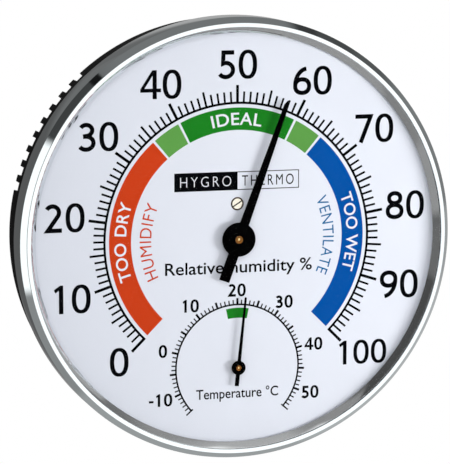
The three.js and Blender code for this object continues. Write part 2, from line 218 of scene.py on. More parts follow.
def shaped(mesh, cuts=(), adds=(), bevel=0, segments=2, limit=40):
    """The mesh after boolean cuts and joins, with its sharp edges bevelled."""
    obj = bpy.data.objects.new("shaping", mesh)
    bpy.context.scene.collection.objects.link(obj)
    helpers = []
    for others, operation in ((adds, "UNION"), (cuts, "DIFFERENCE")):
        for other in others:
            helper = bpy.data.objects.new("helper", other)
            bpy.context.scene.collection.objects.link(helper)
            helpers.append(helper)
            step = obj.modifiers.new("boolean", "BOOLEAN")
            step.operation = operation
            step.solver = "EXACT"
            step.object = helper
    if bevel:
        edge = obj.modifiers.new("bevel", "BEVEL")
        edge.width = bevel
        edge.segments = segments
        edge.limit_method = "ANGLE"
        edge.angle_limit = math.radians(limit)
    bpy.context.view_layer.update()
    result = bpy.data.meshes.new_from_object(obj.evaluated_get(bpy.context.evaluated_depsgraph_get()))
    for used in [obj, *helpers]:
        bpy.data.objects.remove(used)
    return result


def moved(mesh, x=0.0, z=0.0, angle=0.0):
    """The mesh turned by a clock angle about the dial's axis, then moved across the dial."""
    mesh.transform(Matrix.Translation((x, 0, z)) @ Matrix.Rotation(math.radians(angle), 4, "Y"))
    return mesh


def circle(radius, sides=96, x=0.0, z=0.0):
    """The points of a circle, in order."""
    return [(x + p, z + q) for p, q in (on_clock(radius, 360 * k / sides) for k in range(sides))]


def block(width, tall, rear, front, x=0.0, z=0.0, angle=0.0):
    """A box with its long sides along z, moved across the dial and then turned about its axis."""
    half, rise = width / 2, tall / 2
    outline = [(x - half, z - rise), (x + half, z - rise), (x + half, z + rise), (x - half, z + rise)]
    return moved(slab([outline], rear, front), angle=angle)


# ---- Materials ----

# Sizes of the patterns, in repeats per metre.
BLOTCHES = 60
METAL_BLOTCHES = 500
MACHINING_MARKS = 5000

SCREW_NICKEL = (0.86, 0.82, 0.70)
# Painted shade for the screw: below its face the nickel darkens towards this colour, which stands in for
# the shade in the slot and round the head's side.
SLOT_PAINTED_SHADE = (0.03, 0.022, 0.012)
PAINTED_SHADE_START = 0.04 * MM  # depths below the screw's face
PAINTED_SHADE_FULL = 0.12 * MM


def shader(name, colour, roughness, metallic=0.0):
    """A material with one Principled shader. Returns the material, its node tree and the shader."""
    material = bpy.data.materials.new(name)
    material.use_nodes = True
    tree = material.node_tree
    main = tree.nodes["Principled BSDF"]
    main.inputs["Base Color"].default_value = (*colour, 1)
    main.inputs["Roughness"].default_value = roughness
    main.inputs["Metallic"].default_value = metallic
    return material, tree, main


def noise(tree, scale, detail=3.0, stretch=(1, 1, 1)):
    """A noise pattern fixed to the object, with its size in repeats per metre."""
    place = tree.nodes.new("ShaderNodeTexCoord")
    mapping = tree.nodes.new("ShaderNodeMapping")
    mapping.inputs["Scale"].default_value = stretch
    pattern = tree.nodes.new("ShaderNodeTexNoise")
    pattern.inputs["Scale"].default_value = scale
    pattern.inputs["Detail"].default_value = detail
    tree.links.new(place.outputs["Object"], mapping.inputs["Vector"])
    tree.links.new(mapping.outputs["Vector"], pattern.inputs["Vector"])
    return pattern.outputs["Fac"]


def spread(tree, source, low, high):
    """A pattern's middle range spread between two values."""
    node = tree.nodes.new("ShaderNodeMapRange")
    node.inputs["From Min"].default_value = 0.3
    node.inputs["From Max"].default_value = 0.7
    node.inputs["To Min"].default_value = low
    node.inputs["To Max"].default_value = high
    tree.links.new(source, node.inputs["Value"])
    return node.outputs["Result"]


def tint(tree, source, first, second):
    """A colour that a pattern moves from one to another."""
    node = tree.nodes.new("ShaderNodeMix")
    node.data_type = "RGBA"
    node.inputs["A"].default_value = (*first, 1)
    node.inputs["B"].default_value = (*second, 1)
    tree.links.new(source, node.inputs["Factor"])
    return node.outputs["Result"]


def bump(tree, main, source, distance):
    """Relief of a given depth from a pattern."""
    node = tree.nodes.new("ShaderNodeBump")
    node.inputs["Distance"].default_value = distance
    tree.links.new(source, node.inputs["Height"])
    tree.links.new(node.outputs["Normal"], main.inputs["Normal"])


def shades(colour, change):
    """A darker and a lighter shade of a colour."""
    return tuple(c * (1 - change) for c in colour), tuple(min(1, c * (1 + change)) for c in colour)


def mottled(name, colour, roughness, metallic=0.0, change=0.04, grain=900, relief=0.0, shine=0.5):
    """A solid finish with a soft drift of tone, a fine grain in its roughness and a little relief."""
    material, tree, main = shader(name, colour, roughness, metallic)
    main.inputs["Specular IOR Level"].default_value = shine
    drift = spread(tree, noise(tree, BLOTCHES, 4), 0, 1)
    tree.links.new(tint(tree, drift, *shades(colour, change)), main.inputs["Base Color"])
    fine = noise(tree, grain, 3)
    tree.links.new(spread(tree, fine, roughness * 0.8, roughness * 1.2), main.inputs["Roughness"])
    if relief:
        bump(tree, main, fine, relief)
    return material


def turned_metal(name, colour, roughness):
    """Machined metal, with fine marks drawn out across the dial."""
    material, tree, main = shader(name, colour, roughness, 1.0)
    drift = spread(tree, noise(tree, METAL_BLOTCHES, 4), 0, 1)
    tree.links.new(tint(tree, drift, *shades(colour, 0.12)), main.inputs["Base Color"])
    marks = noise(tree, MACHINING_MARKS, 2)
    tree.links.new(spread(tree, marks, roughness * 0.7, roughness * 1.4), main.inputs["Roughness"])
    bump(tree, main, noise(tree, MACHINING_MARKS, 2, stretch=(0.1, 1, 0.1)), 0.004 * MM)
    return material


def slotted_nickel(face):
    """Nickel plate with painted shade below its face: the slot and the head's side go dark to stand in for
    the shade there.
    """
    material, tree, main = shader("nickel_plate", SCREW_NICKEL, 0.24, 1.0)
    place = tree.nodes.new("ShaderNodeTexCoord")
    axes = tree.nodes.new("ShaderNodeSeparateXYZ")
    tree.links.new(place.outputs["Object"], axes.inputs[0])
    depth = tree.nodes.new("ShaderNodeMapRange")
    depth.inputs["From Min"].default_value = -face + PAINTED_SHADE_START
    depth.inputs["From Max"].default_value = -face + PAINTED_SHADE_FULL
    tree.links.new(axes.outputs["Y"], depth.inputs["Value"])
    tree.links.new(tint(tree, depth.outputs["Result"], SCREW_NICKEL, SLOT_PAINTED_SHADE), main.inputs["Base Color"])
    bump(tree, main, noise(tree, MACHINING_MARKS, 2), 0.003 * MM)
    return material


def clear_pane():
    """A pane so clear that only a trace of it shows."""
    material, tree, main = shader("clear_pane", (0.0, 0.0, 0.0), 0.02)
    main.inputs["Alpha"].default_value = 0.015
    main.inputs["Specular IOR Level"].default_value = 0.5
    return material


CHROME = mottled("polished_chrome", (0.825, 0.885, 0.90), 0.05, 1.0, change=0.01, grain=1500)
REHAUT_CHROME = mottled("rehaut_chrome", (0.80, 0.82, 0.83), 0.06, 1.0, change=0.01, grain=1500)
BLACK_PLASTIC = mottled("moulded_black_plastic", (0.0012, 0.0012, 0.0013), 0.5, change=0.3, grain=2500,
                        relief=0.015 * MM, shine=0.06)
DIAL_WHITE = mottled("dial_white", (0.76, 0.79, 0.87), 0.6, change=0.008, grain=4000,
                     relief=0.003 * MM, shine=0.1)
PRINT_BLACK = mottled("print_black", (0.0007, 0.001, 0.0018), 0.6, change=0.15, shine=0.02)
PRINT_WHITE = mottled("print_white", (0.78, 0.80, 0.86), 0.6, change=0.01, shine=0.1)
PRINT_RED = mottled("print_red", (0.575, 0.048, 0.0085), 0.6, change=0.03, shine=0.05)
PRINT_GREEN = mottled("print_green", (0.010, 0.205, 0.0135), 0.6, change=0.03, shine=0.05)
PRINT_LIGHT_GREEN = mottled("print_light_green", (0.112, 0.335, 0.069), 0.6, change=0.03, shine=0.05)
PRINT_BLUE = mottled("print_blue", (0.0004, 0.079, 0.355), 0.6, change=0.03, shine=0.05)
PRINT_SKY = mottled("print_sky", (0.0018, 0.132, 0.335), 0.6, change=0.03, shine=0.05)
POINTER_BLACK = mottled("pointer_black", (0.0004, 0.0004, 0.0005), 0.6, change=0.3, grain=5000,
                        relief=0.004 * MM, shine=0.006)
BRASS = turned_metal("turned_brass", (0.50, 0.24, 0.065), 0.25)
POLISHED_BRASS = turned_metal("polished_brass", (0.95, 0.74, 0.36), 0.14)
# Brass darkened nearly to black as painted shade: the front plate shows through the gap round the front
# screw, and its dark colour stands in for the shade there.
GAP_SHADE_BRASS = turned_metal("gap_shade_brass", (0.085, 0.040, 0.014), 0.45)
NICKEL = slotted_nickel(front_of("movement_screw"))
STEEL = turned_metal("turned_steel", (0.50, 0.50, 0.51), 0.30)
ALUMINIUM = turned_metal("drawn_aluminium", (0.66, 0.67, 0.69), 0.35)
HUMIDITY_STRIP = mottled("humidity_strip", (0.42, 0.19, 0.07), 0.45, 0.7, change=0.1)
BIMETAL_STRIP = mottled("bimetal_strip", (0.40, 0.37, 0.31), 0.35, 1.0, change=0.08)
LENS = clear_pane()


# ---- Case, ring and lens ----

NOTCH_GROUPS = (-59.3, 60.7, 180.7)
NOTCH_COUNT = 9
NOTCH_PITCH = 4.22
NOTCH_WIDTH = 2.7 * MM
NOTCH_DEPTH = 5.2 * MM
AIR_SLOTS = 20
ADJUSTER_HOLE = 3.2 * MM  # radius
BACK_RIBS = ((17 * MM, 19 * MM), (40 * MM, 41.6 * MM))  # inner and outer radii
RIB_RISE = 0.4 * MM


def case_shell():
    """The round wall: a groove for the ring's ridge, a ledge for the back panel, and notches for air."""
    wall = 2 * MM
    inside = CASE_RADIUS - wall
    front = front_of("case_shell")
    ledge_rear = front_of("back_panel") + 0.1 * MM
    ledge_front = ledge_rear + 1.2 * MM
    ledge_inside = inside - 1.8 * MM
    groove_rear, groove_front = 15.6 * MM, 17.6 * MM
    groove_floor = CASE_RADIUS - 0.5 * MM
    slope = 0.4 * MM
    section = [
        (inside, 0, 0.3 * MM),
        (CASE_RADIUS, 0, 0.5 * MM),
        (CASE_RADIUS, groove_rear),
        (groove_floor, groove_rear + slope),
        (groove_floor, groove_front - slope),
        (CASE_RADIUS, groove_front),
        (CASE_RADIUS, front, 0.3 * MM),
        (inside, front, 0.2 * MM),
        (inside, ledge_front),
        (ledge_inside, ledge_front, 0.2 * MM),
        (ledge_inside, ledge_rear),
        (inside, ledge_rear),
    ]
    middle = CASE_RADIUS - wall / 2
    cuts = []
    for centre in NOTCH_GROUPS:
        for i in range(NOTCH_COUNT):
            angle = centre + (i - (NOTCH_COUNT - 1) / 2) * NOTCH_PITCH
            cuts.append(block(NOTCH_WIDTH, 3 * wall, -MM, NOTCH_DEPTH, z=middle, angle=angle))
    mesh = shaped(turned(rounded(section), sides=288), cuts=[joined(cuts)], bevel=0.18 * MM)
    piece("case_shell_moulding", mesh, BLACK_PLASTIC, "case", ["case_shell"])


def keyhole_outline():
    """The keyhole in the back panel: a round hole with a narrower slot rising from it to a round seat."""
    low, rise, head, neck = 46 * MM, 7 * MM, 4.5 * MM, 2.3 * MM
    side = math.degrees(math.asin(neck / head))
    points = [on_clock(head, side + (360 - 2 * side) * k / 48) for k in range(49)]
    for k in range(17):
        turn = math.pi * (1 - k / 16)
        points.append((neck * math.cos(turn), rise + neck * math.sin(turn)))
    return [(x, low + z) for x, z in points]


def back_panel():
    """The rear wall, with air slots, a keyhole, the adjuster's opening and two low ribs."""
    rear, front = rear_of("back_panel"), front_of("back_panel")
    radius = radius_of("back_panel")
    through = front + 5 * MM
    pitch = 360 / AIR_SLOTS
    cuts = []
    for i in range(AIR_SLOTS):
        slot = slab([slot_outline(width=3 * MM, inner=22 * MM, outer=36 * MM)], 0, through)
        cuts.append(moved(slot, angle=(i + 0.5) * pitch))
    cuts.append(slab([keyhole_outline()], 0, through))
    cuts.append(slab([circle(ADJUSTER_HOLE, 48)], 0, through))
    chamfer = 0.3 * MM
    section = [(0, rear)]
    for inner, outer in BACK_RIBS:
        section += [
            (inner, rear),
            (inner + RIB_RISE, rear - RIB_RISE, 0.15 * MM),
            (outer - RIB_RISE, rear - RIB_RISE, 0.15 * MM),
            (outer, rear),
        ]
    section += [(radius - chamfer, rear), (radius, rear + chamfer), (radius, front), (0, front)]
    mesh = shaped(turned(rounded(section, steps=2)), cuts=[joined(cuts)], bevel=0.12 * MM)
    piece("back_panel_moulding", mesh, BLACK_PLASTIC, "case", ["back_panel"])


def slot_outline(width, inner, outer):
    """A slot with round ends that points away from the dial's axis."""
    half = width / 2
    low = [on_clock(half, 90 + 180 * k / 12) for k in range(13)]
    high = [on_clock(half, 270 + 180 * k / 12) for k in range(13)]
    return [(x, inner + half + z) for x, z in low] + [(x, outer - half + z) for x, z in high]


def bezel_ring():
    """The ring: a side wall, a bevel, a rounded crest over the lens and a ridge that snaps on the case."""
    bore = CASE_RADIUS + 0.1 * MM
    seat = LENS_RADIUS + 0.1 * MM
    lip = LENS_FRONT + 0.05 * MM
    crest_outer = 64.3 * MM
    crest_inner = 63.0 * MM
    shoulder = 24.25 * MM
    step = front_of("case_shell") + 0.1 * MM
    snap = 0.4 * MM
    snap_rear, snap_front = 15.8 * MM, 17.4 * MM
    section = [
        (bore, RING_REAR, 0.1 * MM),
        (RING_RADIUS, RING_REAR, 0.4 * MM),
        (RING_RADIUS, shoulder, 0.35 * MM),
        (crest_outer, CREST - 0.22 * MM, 0.05 * MM),
        (crest_outer - 0.1 * MM, CREST, 0.1 * MM),
        (crest_inner, CREST, 0.12 * MM),
        (crest_inner, lip, 0.03 * MM),
        (seat, lip),
        (seat, step),
        (bore, step),
        (bore, snap_front),
        (bore - snap, snap_front - snap),
        (bore - snap, snap_rear + snap),
        (bore, snap_rear),
    ]
    mesh = turned(rounded(section, steps=6), sides=360)
    piece("bezel_ring_chromed", mesh, CHROME, "case", ["bezel_ring"], smooth=50)


def dial_rehaut():
    """The sloping ring between lens and dial, undercut at its foot so that only a lip meets the dial."""
    rear, front = rear_of("dial_rehaut"), front_of("dial_rehaut")
    mouth = 63.0 * MM
    inner = 61.2 * MM
    recess = inner + 1.0 * MM
    lip = rear + 0.38 * MM
    section = [
        (recess, rear),
        (LENS_RADIUS, rear),
        (LENS_RADIUS, front),
        (mouth, front, 0.1 * MM),
        (inner, lip + 0.1 * MM, 0.05 * MM),
        (inner, lip),
        (recess, lip),
    ]
    mesh = turned(rounded(section), sides=360)
    piece("dial_rehaut_polished", mesh, REHAUT_CHROME, "case", ["dial_rehaut"])


def front_lens():
    """The clear pane under the ring's crest."""
    section = [
        (0, LENS_REAR),
        (LENS_RADIUS, LENS_REAR, 0.15 * MM),
        (LENS_RADIUS, LENS_FRONT, 0.15 * MM),
        (0, LENS_FRONT),
    ]
    mesh = turned(rounded(section, steps=3))
    piece("front_lens_clear", mesh, LENS, "case", ["front_lens"])


def dial_plate():
    """The white disc, with holes for the two spindles and the screw."""
    radius = radius_of("dial_plate")
    section = [(0, DIAL_REAR), (radius, DIAL_REAR, 0.1 * MM), (radius, DIAL_FACE, 0.1 * MM), (0, DIAL_FACE)]
    holes = [(2.2 * MM, 0), (2.0 * MM, SCREW_Z), (1.5 * MM, THERMO_Z)]
    cuts = [slab([circle(bore, 48, z=z)], DIAL_REAR - MM, DIAL_FACE + MM) for bore, z in holes]
    mesh = shaped(turned(rounded(section, steps=2)), cuts=[joined(cuts)])
    piece("dial_plate_enamelled", mesh, DIAL_WHITE, "case", ["dial_plate"])


# ---- Dial print ----

# Lengths in the print are in units of the scale's radius, and angles are in degrees.
INK = 0.02 * MM
DEGREES_PER_PERCENT = 2.7
DEGREES_PER_CELSIUS = 3.75
TOP_PERCENT = 50  # the reading at the top of its scale
TOP_CELSIUS = 20
BAND_INNER = 0.802
BAND_OUTER = 0.966
BAND_GAP = 0.55  # half the white gap between two colours, in degrees


def ink(name, meshes, material, layer=1):
    """A printed layer: flat solids that stand one or two films of ink above the dial."""
    mesh = joined(meshes)
    top = DIAL_FACE + layer * INK
    for v in mesh.vertices:
        v.co.y = -top if v.co.y < -0.5 * INK else -(DIAL_FACE - INK)
    piece(name, mesh, material, "case")


def film(loops):
    """A flat solid of print, from outlines in units of the scale's radius. ink() sets its heights."""
    scaled = [[(x * SCALE, z * SCALE) for x, z in loop] for loop in loops]
    return slab(scaled, 0, INK)


def sector(inner, outer, start, end, centre=(0, 0)):
    """A band between two radii and two clock angles."""
    steps = max(2, int(abs(end - start) / 1.5))
    sweep = [start + (end - start) * k / steps for k in range(steps + 1)]
    points = [on_clock(outer, a) for a in sweep] + [on_clock(inner, a) for a in reversed(sweep)]
    return film([[(x + centre[0], z + centre[1]) for x, z in points]])


def tick(angle, inner, outer, width, centre=(0, 0)):
    """A straight radial line."""
    half = width / 2
    across = Vector(on_clock(1, angle + 90))
    along = Vector(on_clock(1, angle))
    corners = [(-half, inner), (half, inner), (half, outer), (-half, outer)]
    return film([[Vector(centre) + across * x + along * reach for x, reach in corners]])


def humidity_angle(value):
    """The clock angle of a humidity in per cent."""
    return (value - TOP_PERCENT) * DEGREES_PER_PERCENT


def temperature_angle(value):
    """The clock angle of a temperature in degrees Celsius."""
    return (value - TOP_CELSIUS) * DEGREES_PER_CELSIUS


def humidity_scale():
    """The large arc and its ticks."""
    overrun = 0.6
    marks = [sector(0.9915, 1.0085, humidity_angle(0) - overrun, humidity_angle(100) + overrun)]
    for value in range(101):
        if value % 10 == 0:
            outer, width = 1.130, 0.0210
        elif value % 5 == 0:
            outer, width = 1.114, 0.0162
        else:
            outer, width = 1.083, 0.0150
        marks.append(tick(humidity_angle(value), 1.0, outer, width))
    return marks


def temperature_scale(centre):
    """The small arc and its ticks, with a thin line at each end."""
    marks = [sector(0.4622, 0.4745, temperature_angle(-15), temperature_angle(55), centre)]
    for value in range(-15, 56):
        if value in (-15, 55):
            inner, outer, width = 0.452, 0.518, 0.011
        elif value % 5 == 0:
            inner, outer, width = 0.466, 0.516, 0.0160
        else:
            inner, outer, width = 0.466, 0.503, 0.0095
        marks.append(tick(temperature_angle(value), inner, outer, width, centre))
    return marks


# ---- Figures, drawn as strokes of even width on a body one unit high ----

FIGURE_DEPTH = 0.1

def oval(x, z, rx, rz, fullness=2.2, sides=64):
    """A closed, slightly squared oval."""
    points = []
    for k in range(sides):
        turn = 2 * math.pi * k / sides
        c, s = math.cos(turn), math.sin(turn)
        points.append((
            x + rx * math.copysign(abs(c) ** (2 / fullness), c),
            z + rz * math.copysign(abs(s) ** (2 / fullness), s),
        ))
    return points


def arc(x, z, rx, rz, start, end, steps=24):
    """Points along an ellipse, with angles anticlockwise from the right."""
    turns = [math.radians(start + (end - start) * k / steps) for k in range(steps + 1)]
    return [(x + rx * math.cos(t), z + rz * math.sin(t)) for t in turns]


def ring(x, z, rx, rz, stroke, fullness=2.2):
    """An oval stroke, given its middle line."""
    half = stroke / 2
    return [oval(x, z, rx + half, rz + half, fullness), oval(x, z, rx - half, rz - half, fullness)]


def ribbon(path, stroke):
    """A stroke of even width along a path, with square ends and mitred corners."""
    points = [Vector(p) for p in path]
    left, right = [], []
    for i, here in enumerate(points):
        before = (here - points[i - 1]).normalized() if i else None
        after = (points[i + 1] - here).normalized() if i + 1 < len(points) else None
        before, after = before or after, after or before
        side_before = Vector((-before.y, before.x))
        side_after = Vector((-after.y, after.x))
        middle = (side_before + side_after).normalized()
        reach = stroke / 2 / max(0.35, middle.dot(side_after))
        left.append(tuple(here + middle * reach))
        right.append(tuple(here - middle * reach))
    return [left + right[::-1]]


# A figure gives its strokes, each a list of outlines, its width and the space it keeps on either side.


def figure_0(stroke):
    outer = oval(0.335, 0.5, 0.335, 0.508, 2.35)
    inner = oval(0.335, 0.5, 0.33 - stroke, 0.533 - stroke)
    return [[outer, inner]], 0.67, 0.048


def figure_1(stroke):
    right = 0.335
    left = 0.33 - stroke
    foot = 0.883 - stroke
    outline = [(right, 0), (right, 1), (0.225, 1), (0, 0.845), (0.06, foot), (left, foot + 0.09), (left, 0)]
    return [[outline]], right, 0.25


def figure_2(stroke):
    half = stroke / 2
    bowl = arc(0.285, 0.70, 0.304 - half, 0.30 - half, 150, -30)
    return [ribbon([*bowl, (0.11, half), (0.61, half)], stroke)], 0.61, 0.085


def figure_3(stroke):
    half = stroke / 2
    waist = 0.599 - half
    upper = [*arc(0.27, 0.735, 0.289 - half, 0.265 - half, 150, -90), (0.16, waist)]
    lower = [(0.16, waist), *arc(0.262, 0.298, 0.339 - half, 0.301 - half, 90, -146)]
    return [ribbon(upper, stroke), ribbon(lower, stroke)], 0.60, 0.085


def figure_4(stroke):
    right, left = 0.59, 0.59 - stroke
    low, high = 0.235, 0.214 + stroke
    outer = [(left, 0), (right, 0), (right, low), (0.74, low), (0.74, high), (right, high)]
    outer += [(right, 1), (0.43, 1), (0, 0.345), (0, low), (left, low)]
    return [[outer, [(left, high), (left, 1.03 - 1.45 * stroke), (stroke, high)]]], 0.74, 0.01


def figure_5(stroke):
    half = stroke / 2
    bowl = arc(0.245, 0.318, 0.339 - half, 0.321 - half, 100, -146)
    return [ribbon([(0.55, 1 - half), (0.165, 1 - half), (0.15, 0.54), *bowl], stroke)], 0.585, 0.077


def figure_6(stroke):
    half = stroke / 2
    stem = arc(0.53, 0.33, 0.53 - half, 0.67 - half, 180, 96)
    return [ring(0.33, 0.312, 0.331 - half, 0.312 - half, stroke), ribbon(stem, stroke)], 0.66, 0.042


def figure_7(stroke):
    return [ribbon([(0, 1 - stroke / 2), (0.565, 1 - stroke / 2), (0.20, 0)], stroke)], 0.625, 0.07


def figure_8(stroke):
    half = stroke / 2
    upper = ring(0.335, 0.750, 0.284 - half, 0.252 - half, stroke)
    lower = ring(0.335, 0.290, 0.335 - half, 0.291 - half, stroke)
    return [upper, lower], 0.67, 0.048


def figure_9(stroke):
    strokes, width, space = figure_6(stroke)
    return [[[(width - x, 1 - z) for x, z in loop] for loop in loops] for loops in strokes], width, 0.052


def figure_minus(stroke):
    low, high = 0.32, 0.32 + 0.9 * stroke
    return [[[(0, low), (0.37, low), (0.37, high), (0, high)]]], 0.37, -0.05


def figure_mesh(strokes, width, space):
    """A figure with its strokes made solid and joined."""
    solids = [slab(loops, 0, FIGURE_DEPTH) for loops in strokes]
    mesh = shaped(solids[0], adds=solids[1:]) if len(solids) > 1 else solids[0]
    return mesh, width, space


def figures(stroke):
    """All the figures, in strokes of one width."""
    shapes = (figure_0, figure_1, figure_2, figure_3, figure_4,
              figure_5, figure_6, figure_7, figure_8, figure_9)
    made = {str(i): figure_mesh(*shape(stroke)) for i, shape in enumerate(shapes)}
    made["-"] = figure_mesh(*figure_minus(stroke))
    return made


LARGE_FIGURES = figures(0.151)
SMALL_FIGURES = figures(0.190)
LARGE_HEIGHT = 0.209
HUNDRED_HEIGHT = 0.180  # the only number with three figures is set smaller
SMALL_HEIGHT = 0.0945


def number(text, face, height, x, z):
    """A whole number in one of the sets of figures, centred on a point."""
    glyphs = [face[c] for c in text]
    gaps = [a[2] + b[2] for a, b in zip(glyphs, glyphs[1:])] + [0]
    pen = -(sum(width for mesh, width, space in glyphs) + sum(gaps)) / 2
    meshes = []
    for (mesh, width, space), gap in zip(glyphs, gaps):
        copy = mesh.copy()
        size = height * SCALE
        place = Matrix.Translation(((x + pen * height) * SCALE, 0, (z - height / 2) * SCALE))
        copy.transform(place @ Matrix.Diagonal((size, INK / FIGURE_DEPTH, size, 1)))
        meshes.append(copy)
        pen += width + gap
    return meshes


# ---- Words ----

CAP_SHARE = 0.69  # the height of the font's capitals as a share of its size


def word_mesh(text, cap, weight=0.0, spacing=1.0):
    """A mesh of words in the built-in font, centred on x with their foot at z = 0, and its width."""
    curve = bpy.data.curves.new("word", "FONT")
    curve.body = text
    curve.size = cap / CAP_SHARE
    curve.space_character = spacing
    curve.offset = weight * cap
    curve.extrude = INK / 2
    curve.resolution_u = 6
    obj = bpy.data.objects.new("word", curve)
    bpy.context.scene.collection.objects.link(obj)
    bpy.context.view_layer.update()
    mesh = bpy.data.meshes.new_from_object(obj.evaluated_get(bpy.context.evaluated_depsgraph_get()))
    bpy.data.objects.remove(obj)
    work = bmesh.new()
    work.from_mesh(mesh)
    bmesh.ops.remove_doubles(work, verts=work.verts, dist=1e-7)
    work.to_mesh(mesh)
    work.free()
    mesh.transform(Matrix.Translation((0, -INK / 2, 0)) @ Matrix.Rotation(math.radians(90), 4, "X"))
    left = min(v.co.x for v in mesh.vertices)
    right = max(v.co.x for v in mesh.vertices)
    mesh.transform(Matrix.Translation((-(left + right) / 2, 0, 0)))
    return mesh, right - left


def straight_word(text, cap, width, x, z, weight=0.0, spacing=1.0):
    """A level word of a given width. cap is the height of its capitals and z is the foot of its letters."""
    mesh, made = word_mesh(text, cap * SCALE, weight, spacing)
    stretch = width * SCALE / made
    mesh.transform(Matrix.Translation((x * SCALE, 0, z * SCALE)) @ Matrix.Diagonal((stretch, 1, 1, 1)))
    return mesh


def bent_word(text, cap, radius, angle, span, weight=0.0, spacing=1.0):
    """A word that follows a circle clockwise. radius is at its middle height and span is in degrees."""
    mesh, made = word_mesh(text, cap * SCALE, weight, spacing)
    for v in mesh.vertices:
        turn = angle + v.co.x / made * span
        reach = radius * SCALE + v.co.z - cap * SCALE / 2
        v.co.x, v.co.z = on_clock(reach, turn)
    return mesh


# Where the numbers stand: the value, then how far right of and above the middle of its own scale.
HUMIDITY_NUMBERS = (
    (0, -0.895, -0.872), (10, -1.241, -0.391), (20, -1.293, 0.203), (30, -1.039, 0.783),
    (40, -0.575, 1.148), (50, 0.004, 1.279), (60, 0.571, 1.148), (70, 1.051, 0.783),
    (80, 1.295, 0.203), (90, 1.253, -0.391), (100, 0.972, -0.891),
)
TEMPERATURE_NUMBERS = (
    (-10, -0.585, -0.218), (0, -0.566, 0.146), (10, -0.355, 0.473), (20, -0.003, 0.575), (30, 0.359, 0.473),
    (40, 0.587, 0.146), (50, 0.563, -0.217),
)


def band(low, high, before=0, after=0):
    """A stretch of the coloured band between two humidities, cut short at either end by a gap."""
    return sector(BAND_INNER, BAND_OUTER, humidity_angle(low) + before, humidity_angle(high) - after)


def dial_print():
    """All the print, with one piece for each colour."""
    thermo = (0, THERMO_Z / SCALE)
    black = humidity_scale() + temperature_scale(thermo)
    for value, x, z in HUMIDITY_NUMBERS:
        height = HUNDRED_HEIGHT if value == 100 else LARGE_HEIGHT
        black += number(str(value), LARGE_FIGURES, height, x, z)
    for value, x, z in TEMPERATURE_NUMBERS:
        black += number(str(value), SMALL_FIGURES, SMALL_HEIGHT, x, thermo[1] + z)
    black += [
        straight_word("Relative humidity %", cap=0.089, width=1.12, x=0.012, z=-0.25, weight=0.014),
        straight_word("Temperature °C", cap=0.072, width=0.63, x=0, z=-1.184, weight=0.014),
    ]
    left, middle, right, low, high = -0.477, -0.005, 0.470, 0.361, 0.497  # the two-part name box
    line = 0.006
    black.append(film([[(left, low), (middle, low), (middle, high), (left, high)]]))
    outer = [(middle, low), (right, low), (right, high), (middle, high)]
    inner = [(middle + line, low + line), (right - line, low + line)]
    inner += [(right - line, high - line), (middle + line, high - line)]
    black.append(film([outer, inner]))
    black.append(straight_word(
        "THERMO", cap=0.077, width=0.395, x=0.232, z=0.391, weight=-0.0002, spacing=1.35))
    ink("print_black", black, PRINT_BLACK)

    ink("print_red", [
        band(0, 35, after=BAND_GAP),
        bent_word("HUMIDIFY", cap=0.088, radius=0.695, angle=-89.8, span=47, weight=-0.002, spacing=1.1),
    ], PRINT_RED)
    ink("print_light_green", [
        band(35, 40, BAND_GAP, BAND_GAP),
        band(60, 65, BAND_GAP, BAND_GAP),
    ], PRINT_LIGHT_GREEN)
    ink("print_green", [
        band(40, 60, BAND_GAP, BAND_GAP),
        sector(0.369, 0.444, temperature_angle(17), temperature_angle(23), thermo),
    ], PRINT_GREEN)
    ink("print_blue", [band(65, 100, before=BAND_GAP)], PRINT_BLUE)
    ink("print_sky", [
        bent_word("VENTILATE", cap=0.085, radius=0.700, angle=89.7, span=48, weight=-0.002, spacing=1.1),
    ], PRINT_SKY)
    ink("print_white", [
        bent_word("TOO DRY", cap=0.086, radius=0.884, angle=-89.4, span=38, weight=0.018, spacing=1.05),
        bent_word("IDEAL", cap=0.088, radius=0.884, angle=-0.3, span=25, weight=0.018, spacing=1.05),
        bent_word("TOO WET", cap=0.086, radius=0.884, angle=88.6, span=38, weight=0.018, spacing=1.05),
        straight_word("HYGRO", cap=0.077, width=0.385, x=-0.240, z=0.391, weight=-0.022, spacing=1.35),
    ], PRINT_WHITE, layer=2)


# ---- Pointers, bushes and the front screw ----

def pointer_mesh(node, hub, tip, shoulder, root, end, tail, tail_width, bore):
    """A flat pointer: a blade that narrows to a point, a round hub with a bore, and a square tail."""
    def blade_half(reach):
        return (root + (end - root) * reach / shoulder) / 2

    meet = math.sqrt(hub ** 2 - blade_half(hub) ** 2)
    side = math.degrees(math.atan2(blade_half(meet), meet))
    tail_side = math.degrees(math.asin(tail_width / 2 / hub))
    right = [(0, tip), (end / 2, shoulder)]
    steps = 40
    for k in range(steps + 1):
        right.append(on_clock(hub, side + (180 - tail_side - side) * k / steps))
    right.append((tail_width / 2, -tail))
    outline = right + [(-x, z) for x, z in reversed(right[1:])]
    mesh = slab([outline, circle(bore, 48)], rear_of(node), front_of(node))
    return shaped(mesh, bevel=0.07 * MM, segments=3, limit=35)


def pointers():
    """Both pointers, at the readings where they rest."""
    long = pointer_mesh(
        "hygro_pointer", hub=5.1 * MM, tip=43.7 * MM, shoulder=42.2 * MM, root=3.02 * MM, end=1.4 * MM,
        tail=13.1 * MM, tail_width=3.2 * MM, bore=1.15 * MM)
    piece("hygro_pointer_blade", moved(long, angle=HYGRO_READING), POINTER_BLACK, "hygro_pointer",
          ["hygro_pointer"])
    short = pointer_mesh(
        "thermo_pointer", hub=2.15 * MM, tip=21.4 * MM, shoulder=21.2 * MM, root=1.06 * MM, end=0.6 * MM,
        tail=5.5 * MM, tail_width=1.24 * MM, bore=0.83 * MM)
    piece("thermo_pointer_blade", moved(short, z=THERMO_Z, angle=THERMO_READING), POINTER_BLACK,
          "thermo_pointer", ["thermo_pointer"])


